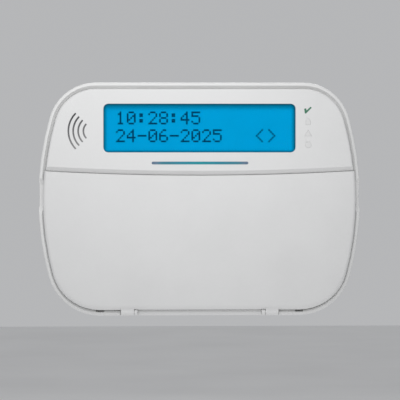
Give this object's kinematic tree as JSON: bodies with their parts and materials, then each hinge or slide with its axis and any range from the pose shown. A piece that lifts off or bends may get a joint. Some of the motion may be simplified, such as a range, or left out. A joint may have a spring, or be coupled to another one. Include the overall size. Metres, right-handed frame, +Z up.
{
  "type": "alarm keypad panel",
  "caption": "White wall keypad with a bowed shallow case, a blue backlit two-line display, a light bar, status symbols and a drop-down door over the keys.",
  "frame": {"origin": "centre of the flat back face, which lies on the wall", "axes": "+X to the right as the user sees it, +Y into the wall, +Z up"},
  "size_m": [0.1684, 0.02, 0.122],
  "materials": {
    "case_white": "fine moulded texture",
    "cover_white": "fine moulded texture",
    "door_white": "fine moulded texture",
    "clear_window": "clear polycarbonate",
    "bezel_metal": "tinned steel",
    "lcd_blue": "blue backlit display",
    "led_white": "milky diffuser",
    "board_green": "solder mask",
    "part_black": "black moulding",
    "screw_steel": "zinc plated",
    "mat_rubber": "silicone rubber",
    "bar_guide": "tinted light guide",
    "ready_green": "lit green symbol",
    "symbol_off": "milky light guide",
    "capacitor_sleeve": "printed sleeve",
    "antenna_copper": "enamelled copper",
    "terminal_green": "nylon",
    "plunger_red": "acetal",
    "key_grey": "soft-touch key",
    "key_pale": "soft-touch key",
    "key_help": "soft-touch key"
  },
  "bodies": {
    "housing": {"rear_case": "case_white", "front_cover": "cover_white", "display_window": "clear_window", "lcd_bezel": "bezel_metal", "lcd_glass": "lcd_blue", "lcd_backlight": "led_white", "lcd_board": "board_green", "lcd_header": "part_black", "main_board": "board_green", "board_screws": "screw_steel", "keypad_mat": "mat_rubber", "light_bar": "bar_guide", "ready_light": "ready_green", "armed_light": "symbol_off", "trouble_light": "symbol_off", "power_light": "symbol_off", "status_leds": "led_white", "bar_leds": "led_white", "board_chips": "part_black", "power_parts": "capacitor_sleeve", "sounder": "part_black", "reader_antenna": "antenna_copper", "terminal_block": "terminal_green", "terminal_screws": "screw_steel", "tamper_switch": "part_black"},
    "door": {"door": "door_white"},
    "tamper_plunger": {"tamper_plunger": "plunger_red"},
    "key_0": {"key_0": "key_grey"},
    "key_1": {"key_1": "key_grey"},
    "key_2": {"key_2": "key_grey"},
    "key_3": {"key_3": "key_grey"},
    "key_4": {"key_4": "key_grey"},
    "key_5": {"key_5": "key_grey"},
    "key_6": {"key_6": "key_grey"},
    "key_7": {"key_7": "key_grey"},
    "key_8": {"key_8": "key_grey"},
    "key_9": {"key_9": "key_grey"},
    "key_star": {"key_star": "key_grey"},
    "key_hash": {"key_hash": "key_grey"},
    "key_left": {"key_left": "key_grey"},
    "key_right": {"key_right": "key_grey"},
    "key_stay": {"key_stay": "key_pale"},
    "key_away": {"key_away": "key_pale"},
    "key_chime": {"key_chime": "key_pale"},
    "key_reset": {"key_reset": "key_pale"},
    "key_exit": {"key_exit": "key_pale"},
    "key_fire": {"key_fire": "key_help"},
    "key_medical": {"key_medical": "key_help"},
    "key_panic": {"key_panic": "key_help"}
  },
  "joints": [
    {"name": "door_hinge", "type": "hinge", "parent": "housing", "child": "door", "pos_m": [0, -0.0172, -0.0593], "axis": [1, 0, 0], "range_deg": [0, 155]},
    {"name": "key_0_press", "type": "slide", "parent": "housing", "child": "key_0", "axis": [0, 1, 0], "range_m": [0, 0.0009], "stiffness_N_per_m": 100, "deforming": ["keypad_mat"]},
    {"name": "key_1_press", "type": "slide", "parent": "housing", "child": "key_1", "axis": [0, 1, 0], "range_m": [0, 0.0009], "stiffness_N_per_m": 100, "deforming": ["keypad_mat"]},
    {"name": "key_2_press", "type": "slide", "parent": "housing", "child": "key_2", "axis": [0, 1, 0], "range_m": [0, 0.0009], "stiffness_N_per_m": 100, "deforming": ["keypad_mat"]},
    {"name": "key_3_press", "type": "slide", "parent": "housing", "child": "key_3", "axis": [0, 1, 0], "range_m": [0, 0.0009], "stiffness_N_per_m": 100, "deforming": ["keypad_mat"]},
    {"name": "key_4_press", "type": "slide", "parent": "housing", "child": "key_4", "axis": [0, 1, 0], "range_m": [0, 0.0009], "stiffness_N_per_m": 100, "deforming": ["keypad_mat"]},
    {"name": "key_5_press", "type": "slide", "parent": "housing", "child": "key_5", "axis": [0, 1, 0], "range_m": [0, 0.0009], "stiffness_N_per_m": 100, "deforming": ["keypad_mat"]},
    {"name": "key_6_press", "type": "slide", "parent": "housing", "child": "key_6", "axis": [0, 1, 0], "range_m": [0, 0.0009], "stiffness_N_per_m": 100, "deforming": ["keypad_mat"]},
    {"name": "key_7_press", "type": "slide", "parent": "housing", "child": "key_7", "axis": [0, 1, 0], "range_m": [0, 0.0009], "stiffness_N_per_m": 100, "deforming": ["keypad_mat"]},
    {"name": "key_8_press", "type": "slide", "parent": "housing", "child": "key_8", "axis": [0, 1, 0], "range_m": [0, 0.0009], "stiffness_N_per_m": 100, "deforming": ["keypad_mat"]},
    {"name": "key_9_press", "type": "slide", "parent": "housing", "child": "key_9", "axis": [0, 1, 0], "range_m": [0, 0.0009], "stiffness_N_per_m": 100, "deforming": ["keypad_mat"]},
    {"name": "key_star_press", "type": "slide", "parent": "housing", "child": "key_star", "axis": [0, 1, 0], "range_m": [0, 0.0009], "stiffness_N_per_m": 100, "deforming": ["keypad_mat"]},
    {"name": "key_hash_press", "type": "slide", "parent": "housing", "child": "key_hash", "axis": [0, 1, 0], "range_m": [0, 0.0009], "stiffness_N_per_m": 100, "deforming": ["keypad_mat"]},
    {"name": "key_left_press", "type": "slide", "parent": "housing", "child": "key_left", "axis": [0, 1, 0], "range_m": [0, 0.0009], "stiffness_N_per_m": 100, "deforming": ["keypad_mat"]},
    {"name": "key_right_press", "type": "slide", "parent": "housing", "child": "key_right", "axis": [0, 1, 0], "range_m": [0, 0.0009], "stiffness_N_per_m": 100, "deforming": ["keypad_mat"]},
    {"name": "key_stay_press", "type": "slide", "parent": "housing", "child": "key_stay", "axis": [0, 1, 0], "range_m": [0, 0.0009], "stiffness_N_per_m": 100, "deforming": ["keypad_mat"]},
    {"name": "key_away_press", "type": "slide", "parent": "housing", "child": "key_away", "axis": [0, 1, 0], "range_m": [0, 0.0009], "stiffness_N_per_m": 100, "deforming": ["keypad_mat"]},
    {"name": "key_chime_press", "type": "slide", "parent": "housing", "child": "key_chime", "axis": [0, 1, 0], "range_m": [0, 0.0009], "stiffness_N_per_m": 100, "deforming": ["keypad_mat"]},
    {"name": "key_reset_press", "type": "slide", "parent": "housing", "child": "key_reset", "axis": [0, 1, 0], "range_m": [0, 0.0009], "stiffness_N_per_m": 100, "deforming": ["keypad_mat"]},
    {"name": "key_exit_press", "type": "slide", "parent": "housing", "child": "key_exit", "axis": [0, 1, 0], "range_m": [0, 0.0009], "stiffness_N_per_m": 100, "deforming": ["keypad_mat"]},
    {"name": "key_fire_press", "type": "slide", "parent": "housing", "child": "key_fire", "axis": [0, 1, 0], "range_m": [0, 0.0009], "stiffness_N_per_m": 100, "deforming": ["keypad_mat"]},
    {"name": "key_medical_press", "type": "slide", "parent": "housing", "child": "key_medical", "axis": [0, 1, 0], "range_m": [0, 0.0009], "stiffness_N_per_m": 100, "deforming": ["keypad_mat"]},
    {"name": "key_panic_press", "type": "slide", "parent": "housing", "child": "key_panic", "axis": [0, 1, 0], "range_m": [0, 0.0009], "stiffness_N_per_m": 100, "deforming": ["keypad_mat"]},
    {"name": "tamper_press", "type": "slide", "parent": "housing", "child": "tamper_plunger", "axis": [0, -1, 0], "range_m": [0, 0.001], "stiffness_N_per_m": 100}
  ]
}
